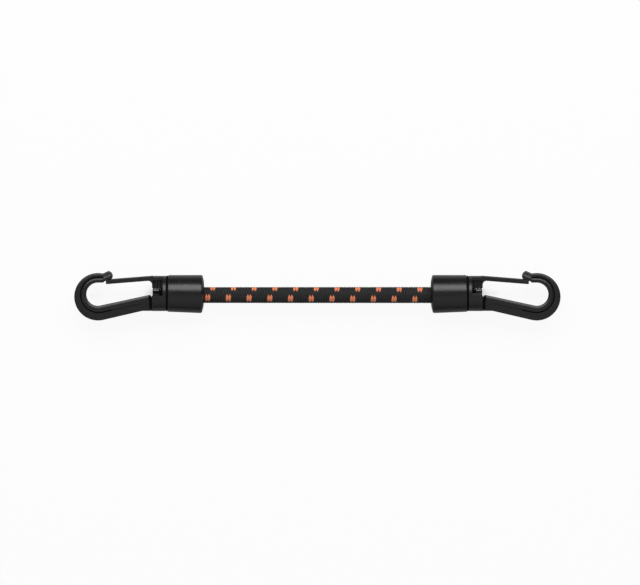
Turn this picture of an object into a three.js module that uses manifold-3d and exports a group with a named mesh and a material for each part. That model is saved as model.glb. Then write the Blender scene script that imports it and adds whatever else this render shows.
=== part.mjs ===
// A short bungee cord with a rotating snap hook at each end, lying flat.
// Millimetres, +Z up, +X along the cord. Each end is made on its own axis, with +X out from the cord
// and +Y to the side of the gate. The left end is the same end, turned half round about Y.

import * as THREE from 'three';
import { mergeVertices } from 'three/addons/utils/BufferGeometryUtils.js';
import Module from 'manifold-3d';

const wasm = await Module();
wasm.setup();

// Clearances
const FIT_GAP = 0.3; // between pieces that seat in each other or turn on each other
const SEAT_GAP = 0.1; // under the flange of the post
const OVERRUN_LENGTH = 1; // how far a cutter runs past the face that it cuts
const SINK_DEPTH = 0.5; // how far joined forms of one moulding run into each other

// Cord: a braided jacket over a core of square-cut rubber threads
const FREE_CORD_LENGTH = 116.7; // from cap mouth to cap mouth
const CORD_RADIUS = 4.1;
const JACKET_THICKNESS = 0.7;
const CORD_TAIL_LENGTH = 12.15; // length of cord inside each cap
const CORD_SIDES = 12;
const CORD_STEPS = 7;
const THREAD_WIDTH = 1; // side of one square thread
const THREAD_GAP = 0.1;
const THREADS_ACROSS = 5;

// Cap: a tapered cup, its bottom pierced for the cord, open towards the hook
const CAP_LENGTH = 18.85;
const CAP_MOUTH_RADIUS = 9.8; // where the cord enters
const CAP_BACK_RADIUS = 9.45; // beside the hook
const CAP_WALL_THICKNESS = 1.6;
const CAP_BOTTOM_THICKNESS = 2.5;
const CAP_ROUND_RADIUS = 1.1; // rounded edge at the mouth
const CAP_CROWN_HEIGHT = 0.65; // how far its bottom bulges towards the cord
const CAP_BEVEL_WIDTH = 0.3; // softened edge beside the hook

// Crimp: the steel ring squeezed on the cord, too wide for the hole in the cap
const CRIMP_LENGTH = 5;
const CRIMP_WALL_THICKNESS = 1.5;
const CRIMP_BEVEL_WIDTH = 0.4;
const CRIMP_SQUEEZE_DEPTH = 0.35; // depth of the waist that the pliers leave

// Swivel post: a plug snapped into the cap, a flange on its rim, a shank and a split head. The two
// halves of the head spring together as it is pushed through the collar's bearing wall.
const PLUG_LENGTH = 2.5;
const SNAP_HEIGHT = 0.5; // bead on the plug, in a groove in the cap
const SNAP_LENGTH = 1.1;
const FLANGE_RADIUS = 8.6;
const FLANGE_THICKNESS = 0.4;
const SHANK_RADIUS = 1.75;
const HEAD_RADIUS = 3;
const HEAD_BAND_LENGTH = 2.8; // straight part of the head, between its round edges
const HEAD_BACK_ROUND = 0.8; // towards the bearing wall
const HEAD_FRONT_ROUND = 0.7;
const SLOT_WIDTH = 1; // of the split
const SLOT_LEAN_ANGLE = THREE.MathUtils.degToRad(10); // of the split, from the upright

// Collar: the round base of the hook. Past its bearing wall the half towards the gate is a flat slab, with
// a pocket on each face.
const COLLAR_LENGTH = 6.9;
const COLLAR_RADIUS = 9;
const COLLAR_BEVEL_WIDTH = 0.4;
const BEARING_THICKNESS = 2.1;
const POCKET_TOP_HEIGHT = 6.8; // above the axis, towards the gate
const POCKET_FOOT_DEPTH = 1.2; // below the axis
const WEB_THICKNESS = 2.4; // left between the two pockets
const RIB_COUNT = 3;
const RIB_WIDTH = 0.7;
const RIB_HEIGHT = 0.55;

// Hook: a window closed by the gate, and a round end
const WINDOW_LENGTH = 34; // from the collar to the inside of the round end
const INNER_RADIUS = 6;
const OUTER_RADIUS = 12.15;
const BACK_THICKNESS = 5.95; // at the far end
const CROWN_THICKNESS = 4.84; // over the top of the window
const INNER_DROP_HEIGHT = 0.39; // centre of the inner round, below the axis
const LEG_INNER_ANGLE = THREE.MathUtils.degToRad(12.15);
const LEG_OUTER_ANGLE = THREE.MathUtils.degToRad(13.05);
const HEEL_STEP_DEPTH = 0.1; // from the heel of the leg out to the side of the collar
const LEG_NECK_DEPTH = 0.6; // step in the inner edge of the leg, beside the collar

// Nose: the short lug that the gate shuts against
const CROWN_ANGLE = THREE.MathUtils.degToRad(0.6); // rise of the underside, beyond the inner round
const CROWN_STRAIGHT_LENGTH = 2.9;
const NOTCH_LENGTH = 0.93; // step in the underside, beside the tip of the gate
const NOTCH_ANGLE = THREE.MathUtils.degToRad(60);
const VALLEY_ANGLE = THREE.MathUtils.degToRad(12); // past the top of the outer round
const NOSE_UNDER_LENGTH = 4.26;
const NOSE_UNDER_ANGLE = THREE.MathUtils.degToRad(17.6);
const NOSE_TOP_LENGTH = 3.12;
const NOSE_TOP_ANGLE = THREE.MathUtils.degToRad(25.2);
const NOSE_CHAMFER_LENGTH = 1.53;
const NOSE_CHAMFER_ANGLE = THREE.MathUtils.degToRad(77.4);
const NOSE_CORNER_LENGTH = 1.6;
const NOSE_CORNER_ANGLE = THREE.MathUtils.degToRad(29.9);

// Section of the hook, from the inner edge to the outer edge, as half depths
const BEAD_WIDTH = 2.3; // round the end of the hook
const LEG_BEAD_WIDTH = 3.1; // beside the collar
const BEAD_START_LENGTH = 0.8; // clear of the collar
const BEAD_RAMP_LENGTH = 0.7; // over which the bead rises at its start
const BEAD_HALF_DEPTH = 4; // at the crest of the bead
const INNER_HALF_DEPTH = 2.5;
const GROOVE_WIDTH = 0.7;
const GROOVE_HALF_DEPTH = 2.8;
const FLANGE_HALF_DEPTH = 3.5;
const OUTER_BEVEL_WIDTH = 0.9; // rounding of the outer edge

// Gate: a springy leaf, rounded at its root and bevelled under the nose
const GATE_ROOT_LENGTH = 3.2; // pivot, out from the collar
const GATE_HEIGHT = 7.62; // pivot, above the axis
const GATE_TIP_BACK_LENGTH = 0.93; // middle of the tip, back from the start of the nose's underside
const GATE_TIP_DROP_HEIGHT = 0.45; // middle of the tip, below the same place
const GATE_THICKNESS = 2.4;
const GATE_HALF_DEPTH = 3.2;
const GATE_BEVEL_WIDTH = 0.35;
const GATE_TIP_RADIUS = 0.5;
const SHOULDER_UNDER_HEIGHT = 6.5; // underside of the shoulder that carries the gate, above the axis
const SHOULDER_FILLET_RADIUS = 2;

// Facets
const ROUND_SIDES = 32;
const SMALL_SIDES = 24;
const ARC_STEPS = 15;
const EDGE_STEPS = 3;

// Bead: place across its width, and rise from its edge to its crest
const beadShares = [
  [0, 0],
  [0.1, 0.45],
  [0.28, 0.83],
  [0.5, 1],
  [0.72, 0.88],
  [0.92, 0.5],
];
// Rounded outer edge: place along it, and height left
const outerEdgeShares = [
  [0, 1],
  [0.6, 0.75],
  [1, 0],
];
// Leg, from the collar to the round end: place between the heel and the round, and depth of its groove
const legShares = [
  [0, 0],
  [0.35, 0],
  [0.72, 0],
  [0.8, 1],
];

// Places along the axis, out from the middle of the cord
const capMouth = FREE_CORD_LENGTH / 2;
const capBack = capMouth + CAP_LENGTH;
const capFloor = capMouth + CAP_BOTTOM_THICKNESS;
const flangeEnd = SEAT_GAP + FLANGE_THICKNESS; // out from the cap, as is the next
const swivelGap = flangeEnd + FIT_GAP;
const collarFace = capBack + swivelGap;
const cordLength = FREE_CORD_LENGTH + 2 * CORD_TAIL_LENGTH;
// Radii that follow from their neighbours
const holeRadius = CORD_RADIUS + FIT_GAP;
const capBore = CAP_BACK_RADIUS - CAP_WALL_THICKNESS;
const plugRadius = capBore - FIT_GAP;
const shankBore = SHANK_RADIUS + FIT_GAP;
const headBore = HEAD_RADIUS + FIT_GAP;

const nylon = new THREE.MeshStandardMaterial({ color: 0x1b1b1c, roughness: 0.42, metalness: 0 });
const braid = new THREE.MeshStandardMaterial({ color: 0x202021, roughness: 0.85, metalness: 0 });
const rubber = new THREE.MeshStandardMaterial({ color: 0xcbb58c, roughness: 0.7, metalness: 0 });
const steel = new THREE.MeshStandardMaterial({ color: 0xb9bcc0, roughness: 0.35, metalness: 1 });

// A profile of [place along the axis, radius] pairs, turned about X. It comes back along the outside.
function revolve(profile, sides) {
  const points = profile.map(([along, radius]) => new THREE.Vector2(radius, along)).reverse();
  return new THREE.LatheGeometry(points, sides).rotateZ(-Math.PI / 2);
}

// An outline in the plane of the hook, given its depth on both sides of that plane
function slab(shape, halfDepth, edge = 0) {
  const depth = 2 * (halfDepth - edge);
  const options = { depth, curveSegments: 10, bevelEnabled: edge > 0, bevelSegments: 1 };
  const bevel = { bevelThickness: edge, bevelSize: edge, bevelOffset: -edge };
  return new THREE.ExtrudeGeometry(shape, { ...options, ...bevel }).translate(0, 0, -depth / 2);
}

// A box between two corners
function block(low, high) {
  const size = high.map((value, axis) => value - low[axis]);
  const middle = high.map((value, axis) => (value + low[axis]) / 2);
  return new THREE.BoxGeometry(...size).translate(...middle);
}

// A closed geometry as a solid that can be joined and cut
function toSolid(geometry) {
  const plain = geometry.clone();
  plain.deleteAttribute('normal');
  plain.deleteAttribute('uv');
  const merged = mergeVertices(plain, 1e-4);
  const index = merged.index.array;
  const kept = [];
  for (let i = 0; i < index.length; i += 3) {
    const [a, b, c] = index.slice(i, i + 3);
    if (a !== b && b !== c && c !== a) kept.push(a, b, c);
  }
  const vertProperties = new Float32Array(merged.attributes.position.array);
  const triVerts = new Uint32Array(kept);
  return new wasm.Manifold(new wasm.Mesh({ numProp: 3, vertProperties, triVerts }));
}

function toGeometry(solid) {
  const { vertProperties, triVerts } = solid.getMesh();
  const geometry = new THREE.BufferGeometry();
  geometry.setAttribute('position', new THREE.BufferAttribute(vertProperties, 3));
  geometry.setIndex(new THREE.BufferAttribute(triVerts, 1));
  geometry.computeVertexNormals();
  return geometry;
}

function namedMesh(name, geometry, material) {
  const mesh = new THREE.Mesh(geometry, material);
  mesh.name = name;
  return mesh;
}

// The point at a distance and angle from another, in the plane of the hook
function polar([x, y], distance, angle) {
  return [x + distance * Math.cos(angle), y + distance * Math.sin(angle)];
}

function mix(a, b, share) {
  return a.map((value, axis) => value + (b[axis] - value) * share);
}

// Outline of the hook in its own frame: X 0 is the collar's face beside the cap, Y 0 the swivel's axis
const innerEnd = COLLAR_LENGTH + WINDOW_LENGTH;
const innerCentre = [innerEnd - INNER_RADIUS, -INNER_DROP_HEIGHT];
const outerTop = innerCentre[1] + INNER_RADIUS + CROWN_THICKNESS;
const outerCentre = [innerEnd + BACK_THICKNESS - OUTER_RADIUS, outerTop - OUTER_RADIUS];
const crownTurn = Math.PI / 2 - CROWN_ANGLE;
const legInner = polar(innerCentre, INNER_RADIUS, -Math.PI / 2 - LEG_INNER_ANGLE);
const legOuter = polar(outerCentre, OUTER_RADIUS, -Math.PI / 2 - LEG_OUTER_ANGLE);
const heelHeight = -COLLAR_RADIUS + HEEL_STEP_DEPTH;
const heelPlace = legOuter[0] - (heelHeight - legOuter[1]) / Math.tan(LEG_OUTER_ANGLE);
const heel = legOuterAt(Math.max(COLLAR_LENGTH, heelPlace));
const crownStart = polar(innerCentre, INNER_RADIUS, crownTurn);
const crownEnd = polar(crownStart, CROWN_STRAIGHT_LENGTH, Math.PI - CROWN_ANGLE);
const valley = polar(outerCentre, OUTER_RADIUS, Math.PI / 2 + VALLEY_ANGLE);
const noseStart = polar(crownEnd, NOTCH_LENGTH, Math.PI - NOTCH_ANGLE);
const noseUnder = polar(noseStart, NOSE_UNDER_LENGTH, Math.PI - NOSE_UNDER_ANGLE);
const noseTop = polar(valley, NOSE_TOP_LENGTH, Math.PI - NOSE_TOP_ANGLE);
const noseFront = polar(noseUnder, NOSE_CHAMFER_LENGTH, Math.PI - NOSE_CHAMFER_ANGLE);
const noseCorner = polar(noseTop, NOSE_CORNER_LENGTH, Math.PI + NOSE_CORNER_ANGLE);
// Middle line of the gate, from its pivot to its tip
const gatePivot = [COLLAR_LENGTH + GATE_ROOT_LENGTH, GATE_HEIGHT];
const gateTip = [noseStart[0] - GATE_TIP_BACK_LENGTH, noseStart[1] - GATE_TIP_DROP_HEIGHT];
const gateLength = Math.hypot(gateTip[0] - gatePivot[0], gateTip[1] - gatePivot[1]);
const gateDroop = Math.atan2(gatePivot[1] - gateTip[1], gateTip[0] - gatePivot[0]);

// The inner edge of the leg at a place along the axis
function legInnerAt(x) {
  return [x, legInner[1] + (legInner[0] - x) * Math.tan(LEG_INNER_ANGLE)];
}

// The outer edge of the leg at a place along the axis: level beside the collar, then falling
function legOuterAt(x) {
  return [x, Math.min(heelHeight, legOuter[1] + (legOuter[0] - x) * Math.tan(LEG_OUTER_ANGLE))];
}

// Lines across the hook from its inner edge to its outer edge, one after another from collar to nose.
// Each has the width of its bead, and how far its bead and its groove are formed, from 0 to 1.
function hookStations() {
  const stations = [];
  const beadStart = COLLAR_LENGTH + BEAD_START_LENGTH;
  for (const [place, bead] of [
    [COLLAR_LENGTH - SINK_DEPTH, 0],
    [beadStart, 0],
    [beadStart + BEAD_RAMP_LENGTH, 1],
  ]) {
    const [x, y] = legInnerAt(place);
    const inner = [x, y - LEG_NECK_DEPTH * (1 - bead)];
    stations.push({ inner, outer: legOuterAt(place), width: LEG_BEAD_WIDTH, bead, groove: 0 });
  }
  const heelInner = legInnerAt(heel[0] + LEG_BEAD_WIDTH * Math.tan(LEG_INNER_ANGLE));
  for (const [share, groove] of legShares) {
    const [inner, outer] = [mix(heelInner, legInner, share), mix(heel, legOuter, share)];
    stations.push({ inner, outer, width: LEG_BEAD_WIDTH, bead: 1, groove });
  }
  const innerSweep = crownTurn + Math.PI / 2 + LEG_INNER_ANGLE;
  const outerSweep = crownTurn + Math.PI / 2 + LEG_OUTER_ANGLE;
  for (let step = 0; step <= ARC_STEPS; step += 1) {
    const left = 1 - step / ARC_STEPS;
    const inner = polar(innerCentre, INNER_RADIUS, crownTurn - innerSweep * left);
    const outer = polar(outerCentre, OUTER_RADIUS, crownTurn - outerSweep * left);
    const width = BEAD_WIDTH + (LEG_BEAD_WIDTH - BEAD_WIDTH) * left ** 2;
    stations.push({ inner, outer, width, bead: 1, groove: 1 });
  }
  const crownMiddle = polar(outerCentre, OUTER_RADIUS, Math.PI / 2 + (VALLEY_ANGLE - CROWN_ANGLE) / 2);
  const noseLines = [
    [mix(crownStart, crownEnd, 0.5), crownMiddle, 1],
    [crownEnd, valley, 1],
    [noseStart, mix(valley, noseTop, 0.1), 0],
    [noseUnder, noseTop, 0],
    [noseFront, noseCorner, 0],
  ];
  for (const [inner, outer, groove] of noseLines) {
    stations.push({ inner, outer, width: BEAD_WIDTH, bead: 1, groove });
  }
  return stations;
}

// Half of the depth across the hook: [distance from the inner edge, half depth] pairs
function sectionProfile(thickness, { width, bead, groove }) {
  const squeeze = Math.min(1, thickness / (width + GROOVE_WIDTH + OUTER_BEVEL_WIDTH));
  const crest = FLANGE_HALF_DEPTH + (BEAD_HALF_DEPTH - FLANGE_HALF_DEPTH) * bead - INNER_HALF_DEPTH;
  const grooveHalf = FLANGE_HALF_DEPTH + (GROOVE_HALF_DEPTH - FLANGE_HALF_DEPTH) * groove;
  const flangeEdge = thickness - OUTER_BEVEL_WIDTH * squeeze;
  return [
    ...beadShares.map(([across, rise]) => [width * across * squeeze, INNER_HALF_DEPTH + crest * rise]),
    [(width + GROOVE_WIDTH / 2) * squeeze, grooveHalf],
    ...outerEdgeShares.map(([along, left]) => [
      flangeEdge + OUTER_BEVEL_WIDTH * along * squeeze,
      FLANGE_HALF_DEPTH - OUTER_BEVEL_WIDTH * (1 - left),
    ]),
  ];
}

// The curved hook with its bead and groove, lofted through the stations
function hookLoft() {
  const rings = hookStations().map((station) => {
    const { inner, outer } = station;
    const thickness = Math.hypot(outer[0] - inner[0], outer[1] - inner[1]);
    const profile = sectionProfile(thickness, station);
    const side = profile.map(([distance, half]) => [...mix(inner, outer, distance / thickness), half]);
    const otherSide = side.map(([x, y, half]) => [x, y, -half]).reverse();
    return [...side, ...otherSide];
  });
  const count = rings[0].length;
  const index = [];
  for (let ring = 0; ring + 1 < rings.length; ring += 1) {
    for (let point = 0; point < count; point += 1) {
      const next = (point + 1) % count;
      const [a, b] = [ring * count, (ring + 1) * count];
      index.push(a + point, a + next, b + point, a + next, b + next, b + point);
    }
  }
  const last = (rings.length - 1) * count;
  for (let point = 0; point + 1 < count / 2; point += 1) {
    const across = count - 1 - point;
    index.push(across, point + 1, point, across, across - 1, point + 1);
    index.push(last + point, last + point + 1, last + across);
    index.push(last + point + 1, last + across - 1, last + across);
  }
  const geometry = new THREE.BufferGeometry();
  geometry.setAttribute('position', new THREE.Float32BufferAttribute(rings.flat(2), 3));
  geometry.setIndex(index);
  return geometry;
}

// The collar, bored for the shank of the post
function collar() {
  return revolve(
    [
      [0, shankBore],
      [COLLAR_LENGTH, shankBore],
      [COLLAR_LENGTH, COLLAR_RADIUS - COLLAR_BEVEL_WIDTH],
      [COLLAR_LENGTH - COLLAR_BEVEL_WIDTH, COLLAR_RADIUS],
      [COLLAR_BEVEL_WIDTH, COLLAR_RADIUS],
      [0, COLLAR_RADIUS - COLLAR_BEVEL_WIDTH],
      [0, shankBore],
    ],
    ROUND_SIDES,
  );
}

// What is cut from one face of the collar, past the bearing wall and out from a given depth: between two
// heights, open towards the window
function faceCut(face, halfDepth, lowHeight, highHeight) {
  const [floor, outside] = [face * halfDepth, face * (COLLAR_RADIUS + OVERRUN_LENGTH)];
  const low = [BEARING_THICKNESS, lowHeight, Math.min(floor, outside)];
  const high = [COLLAR_LENGTH + OVERRUN_LENGTH, highHeight, Math.max(floor, outside)];
  return block(low, high);
}

// Ribs across the web, on both of its faces
function webRibs() {
  const pitch = (COLLAR_LENGTH - BEARING_THICKNESS) / RIB_COUNT;
  const half = WEB_THICKNESS / 2 + RIB_HEIGHT;
  return Array.from({ length: RIB_COUNT }, (_, rib) => {
    const middle = BEARING_THICKNESS + pitch * (rib + 0.5);
    const low = [middle - RIB_WIDTH / 2, SHANK_RADIUS, -half];
    const high = [middle + RIB_WIDTH / 2, POCKET_TOP_HEIGHT + SINK_DEPTH, half];
    return block(low, high);
  });
}

// The shoulder on the collar, hollowed round the root of the gate
function shoulder() {
  const socket = GATE_THICKNESS / 2 + FIT_GAP;
  const top = COLLAR_RADIUS;
  const back = COLLAR_LENGTH - SINK_DEPTH;
  const topTurn = Math.PI - Math.asin((top - GATE_HEIGHT) / socket);
  const underTurn = Math.PI + Math.asin((GATE_HEIGHT - SHOULDER_UNDER_HEIGHT) / socket);
  const fillet = [COLLAR_LENGTH + SHOULDER_FILLET_RADIUS, SHOULDER_UNDER_HEIGHT - SHOULDER_FILLET_RADIUS];
  const shape = new THREE.Shape();
  shape.moveTo(back, top);
  shape.lineTo(back, fillet[1]);
  shape.lineTo(COLLAR_LENGTH, fillet[1]);
  shape.absarc(fillet[0], fillet[1], SHOULDER_FILLET_RADIUS, Math.PI, Math.PI / 2, true);
  shape.absarc(gatePivot[0], gatePivot[1], socket, underTurn, topTurn, true);
  shape.closePath();
  return slab(shape, GATE_HALF_DEPTH);
}

function headClearance() {
  const profile = [
    [COLLAR_LENGTH, 0],
    [COLLAR_LENGTH, headBore],
    [BEARING_THICKNESS, headBore],
    [BEARING_THICKNESS, 0],
  ];
  return revolve(profile, SMALL_SIDES);
}

function hookBody() {
  let solid = toSolid(collar());
  for (const face of [-1, 1]) {
    const pocket = faceCut(face, WEB_THICKNESS / 2, -POCKET_FOOT_DEPTH, POCKET_TOP_HEIGHT);
    const flat = faceCut(face, GATE_HALF_DEPTH, 0, COLLAR_RADIUS + OVERRUN_LENGTH);
    solid = solid.subtract(toSolid(pocket)).subtract(toSolid(flat));
  }
  for (const rib of webRibs()) solid = solid.add(toSolid(rib));
  solid = solid.add(toSolid(hookLoft())).add(toSolid(shoulder()));
  return toGeometry(solid.subtract(toSolid(headClearance())));
}

// The gate in its own frame: the pivot at the origin, the leaf along X
function gate() {
  const half = GATE_THICKNESS / 2;
  const fall = NOSE_UNDER_ANGLE - gateDroop;
  const [x, y] = [noseStart[0] - gatePivot[0], noseStart[1] - gatePivot[1]];
  const seatX = x * Math.cos(gateDroop) - y * Math.sin(gateDroop);
  const seatY = x * Math.sin(gateDroop) + y * Math.cos(gateDroop) - FIT_GAP / Math.cos(fall);
  const bevelStart = seatX - (half - seatY) / Math.tan(fall);
  const tipHeight = seatY + (seatX - gateLength) * Math.tan(fall);
  const roundX = gateLength - GATE_TIP_RADIUS;
  const shape = new THREE.Shape();
  shape.moveTo(bevelStart, half);
  shape.lineTo(0, half);
  shape.absarc(0, 0, half, Math.PI / 2, (Math.PI * 3) / 2, false);
  shape.lineTo(roundX, -half);
  shape.absarc(roundX, GATE_TIP_RADIUS - half, GATE_TIP_RADIUS, -Math.PI / 2, 0, false);
  shape.lineTo(gateLength, tipHeight);
  shape.closePath();
  return slab(shape, GATE_HALF_DEPTH, GATE_BEVEL_WIDTH);
}

// A quarter round from one [along, radius] corner to another, bulging to the corner between them
function quarterRound(from, corner, to) {
  const curve = new THREE.QuadraticBezierCurve(
    new THREE.Vector2(...from),
    new THREE.Vector2(...corner),
    new THREE.Vector2(...to),
  );
  return curve.getPoints(EDGE_STEPS).map((point) => point.toArray());
}

// Where the snap bead and its groove lie, as places along the axis from the back of the cap
function snapPlaces(slack) {
  const middle = -PLUG_LENGTH / 2;
  const half = SNAP_LENGTH / 2 + slack;
  return [middle - half, middle - half / 2, middle + half / 2, middle + half];
}

function cap() {
  const [grooveStart, deepStart, deepEnd, grooveEnd] = snapPlaces(FIT_GAP).map((place) => capBack + place);
  const deep = capBore + SNAP_HEIGHT;
  const rim = capMouth + CAP_CROWN_HEIGHT;
  const mouthRound = quarterRound(
    [rim, CAP_MOUTH_RADIUS - CAP_ROUND_RADIUS],
    [rim, CAP_MOUTH_RADIUS],
    [rim + CAP_ROUND_RADIUS, CAP_MOUTH_RADIUS],
  );
  return revolve(
    [
      [capMouth, holeRadius],
      [capFloor, holeRadius],
      [capFloor, capBore],
      [grooveStart, capBore],
      [deepStart, deep],
      [deepEnd, deep],
      [grooveEnd, capBore],
      [capBack, capBore],
      [capBack, CAP_BACK_RADIUS - CAP_BEVEL_WIDTH],
      [capBack - CAP_BEVEL_WIDTH, CAP_BACK_RADIUS],
      ...mouthRound.reverse(),
      [capMouth, holeRadius],
    ],
    ROUND_SIDES,
  );
}

// A round edge on the head of the post, between two places along the axis
function headRound(flat, side) {
  const depth = Math.abs(flat - side);
  return quarterRound([flat, HEAD_RADIUS - depth], [flat, HEAD_RADIUS], [side, HEAD_RADIUS]);
}

function swivelPost() {
  const [beadStart, crestStart, crestEnd, beadEnd] = snapPlaces(0);
  const crest = plugRadius + SNAP_HEIGHT;
  const seat = swivelGap + BEARING_THICKNESS + FIT_GAP;
  const bandStart = seat + HEAD_BACK_ROUND;
  const bandEnd = bandStart + HEAD_BAND_LENGTH;
  const tip = bandEnd + HEAD_FRONT_ROUND;
  const profile = [
    [-PLUG_LENGTH, 0],
    [-PLUG_LENGTH, plugRadius],
    [beadStart, plugRadius],
    [crestStart, crest],
    [crestEnd, crest],
    [beadEnd, plugRadius],
    [SEAT_GAP, plugRadius],
    [SEAT_GAP, FLANGE_RADIUS],
    [flangeEnd, FLANGE_RADIUS],
    [flangeEnd, SHANK_RADIUS],
    [seat, SHANK_RADIUS],
    ...headRound(seat, bandStart),
    ...headRound(tip, bandEnd).reverse(),
    [tip, 0],
  ];
  const body = toSolid(revolve(profile.reverse(), SMALL_SIDES));
  const slotLow = [swivelGap, -SLOT_WIDTH / 2, -HEAD_RADIUS - OVERRUN_LENGTH];
  const slotHigh = [tip + OVERRUN_LENGTH, SLOT_WIDTH / 2, HEAD_RADIUS + OVERRUN_LENGTH];
  const slot = block(slotLow, slotHigh).rotateX(SLOT_LEAN_ANGLE);
  return toGeometry(body.subtract(toSolid(slot))).translate(capBack, 0, 0);
}

function crimp() {
  const start = capFloor + FIT_GAP;
  const end = start + CRIMP_LENGTH;
  const outside = holeRadius + CRIMP_WALL_THICKNESS;
  const third = CRIMP_LENGTH / 3;
  return revolve(
    [
      [start, holeRadius],
      [end, holeRadius],
      [end, outside - CRIMP_BEVEL_WIDTH],
      [end - CRIMP_BEVEL_WIDTH, outside],
      [end - third, outside - CRIMP_SQUEEZE_DEPTH],
      [start + third, outside - CRIMP_SQUEEZE_DEPTH],
      [start + CRIMP_BEVEL_WIDTH, outside],
      [start, outside - CRIMP_BEVEL_WIDTH],
      [start, holeRadius],
    ],
    SMALL_SIDES,
  );
}

// A regular polygon with its corners on a circle
function ringOutline(PathClass, radius) {
  const corners = Array.from({ length: CORD_SIDES }, (_, corner) => {
    const turn = ((corner + 0.5) * Math.PI * 2) / CORD_SIDES;
    return new THREE.Vector2(radius * Math.cos(turn), radius * Math.sin(turn));
  });
  return new PathClass(corners);
}

function jacket() {
  const section = ringOutline(THREE.Shape, CORD_RADIUS);
  section.holes.push(ringOutline(THREE.Path, CORD_RADIUS - JACKET_THICKNESS));
  const line = new THREE.LineCurve3(
    new THREE.Vector3(-cordLength / 2, 0, 0),
    new THREE.Vector3(cordLength / 2, 0, 0),
  );
  return new THREE.ExtrudeGeometry(section, { extrudePath: line, steps: CORD_STEPS });
}

// Rubber threads in a square array without its corners
function threads() {
  const pitch = THREAD_WIDTH + THREAD_GAP;
  const reach = (THREADS_ACROSS - 1) / 2;
  const group = new THREE.Group();
  for (let row = -reach; row <= reach; row += 1) {
    for (let column = -reach; column <= reach; column += 1) {
      if (Math.abs(row) + Math.abs(column) < 2 * reach) {
        const number = String(group.children.length + 1).padStart(2, '0');
        const [y, z] = [column * pitch - THREAD_WIDTH / 2, row * pitch - THREAD_WIDTH / 2];
        const low = [-cordLength / 2, y, z];
        const high = [cordLength / 2, y + THREAD_WIDTH, z + THREAD_WIDTH];
        group.add(namedMesh(`rubber_thread_${number}`, block(low, high), rubber));
      }
    }
  }
  return group;
}

// One end of the cord: its cap, crimp and post, and the hook that turns on the post
function cordEnd(side) {
  const end = new THREE.Group();
  const hook = new THREE.Group();
  const leaf = namedMesh(`${side}_gate`, gate(), nylon);
  leaf.position.set(...gatePivot, 0);
  leaf.rotation.z = -gateDroop;
  hook.position.x = collarFace;
  hook.add(namedMesh(`${side}_hook_body`, hookBody(), nylon), leaf);
  end.add(
    namedMesh(`${side}_cap`, cap(), nylon),
    namedMesh(`${side}_crimp`, crimp(), steel),
    namedMesh(`${side}_swivel_post`, swivelPost(), nylon),
    hook,
  );
  return end;
}

const part = new THREE.Group();
const leftEnd = cordEnd('left');
leftEnd.rotation.y = Math.PI;
part.add(namedMesh('cord_jacket', jacket(), braid), threads(), leftEnd, cordEnd('right'));

// The origin is under the middle of the whole cord, on the surface that it lies on
const box = new THREE.Box3().setFromObject(part, true);
const middle = box.getCenter(new THREE.Vector3());
part.position.set(-middle.x, -middle.y, -box.min.z);

export default part;
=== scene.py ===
# A short bungee cord with a rotating snap hook at each end, lying on a white table.
# Sizes are in millimetres, in each end's own frame: +X out along the cord, +Y to the side of the gate,
# and the axis of the swivel at Y 0, Z 0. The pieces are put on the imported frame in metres.
import math
import bmesh
import bpy
import numpy as np
from mathutils import Matrix, Vector


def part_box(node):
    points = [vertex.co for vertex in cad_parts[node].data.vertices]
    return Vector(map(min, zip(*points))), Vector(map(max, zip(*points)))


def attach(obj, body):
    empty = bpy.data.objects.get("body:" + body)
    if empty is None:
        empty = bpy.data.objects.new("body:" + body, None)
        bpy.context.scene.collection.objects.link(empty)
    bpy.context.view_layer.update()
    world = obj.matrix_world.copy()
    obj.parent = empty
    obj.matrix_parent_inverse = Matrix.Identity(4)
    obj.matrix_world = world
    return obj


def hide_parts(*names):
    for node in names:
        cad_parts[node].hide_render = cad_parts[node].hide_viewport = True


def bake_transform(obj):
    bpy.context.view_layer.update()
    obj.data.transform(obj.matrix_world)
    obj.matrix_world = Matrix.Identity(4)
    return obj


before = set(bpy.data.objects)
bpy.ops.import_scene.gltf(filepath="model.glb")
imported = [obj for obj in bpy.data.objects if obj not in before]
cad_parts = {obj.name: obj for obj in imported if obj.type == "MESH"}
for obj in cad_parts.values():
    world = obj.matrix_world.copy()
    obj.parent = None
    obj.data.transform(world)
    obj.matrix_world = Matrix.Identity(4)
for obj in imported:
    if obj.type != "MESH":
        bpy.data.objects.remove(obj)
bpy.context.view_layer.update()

MM = 0.001
SIDES = {"left": -1, "right": 1}

# Places that follow from the frame
cap_low, cap_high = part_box("right_cap")
hook_low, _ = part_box("right_hook_body")
jacket_low, jacket_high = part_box("cord_jacket")
axis_y = (cap_low.y + cap_high.y) / 2
axis_z = (cap_low.z + cap_high.z) / 2
cap_mouth = cap_low.x / MM
collar_face = hook_low.x / MM
cord_length = (jacket_high.x - jacket_low.x) / MM

MERGE_DISTANCE = 0.0005  # within which points are merged
EDGE_STEPS = 4  # in a rounded edge, unless another number is given

# Cord
CORD_RADIUS = 4.1
BRAID_RADIUS = 4.24
BRAID_PITCH = 10.64  # one turn of a yarn
CARRIERS_EACH_WAY = 8
YARN_WIDTH = 1.2
YARN_THICKNESS = 0.4
YARN_RISE = 0.27  # how far a yarn rises and falls as it passes over and under
YARN_SECTION_SHARES = (  # two ends side by side, as shares of half the yarn's width and thickness
    (-1, 0), (-0.55, 0.9), (0, 0.5), (0.55, 0.9), (1, 0), (0.5, -0.9), (-0.5, -0.9),
)
YARN_MAP = "yarn"  # along and across each yarn
YARN_MAP_STEP = 1.37  # between the yarns on that map, across
YARN_MAP_STRIDE = 31  # times that step, along
FILAMENT_TWIST = math.radians(8)  # of the filaments on that map
FILAMENT_STRETCH = (0.35, 9, 1)
SAMPLES_PER_TURN = 48
FLOAT_ROWS = 4  # round the cord
FLOAT_TURN = math.radians(-31)  # where a row of floats lies, from up towards +Y
FLOAT_DRAW = 0.334  # how far the ends of a float are drawn along the cord, so that it lies across it
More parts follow.
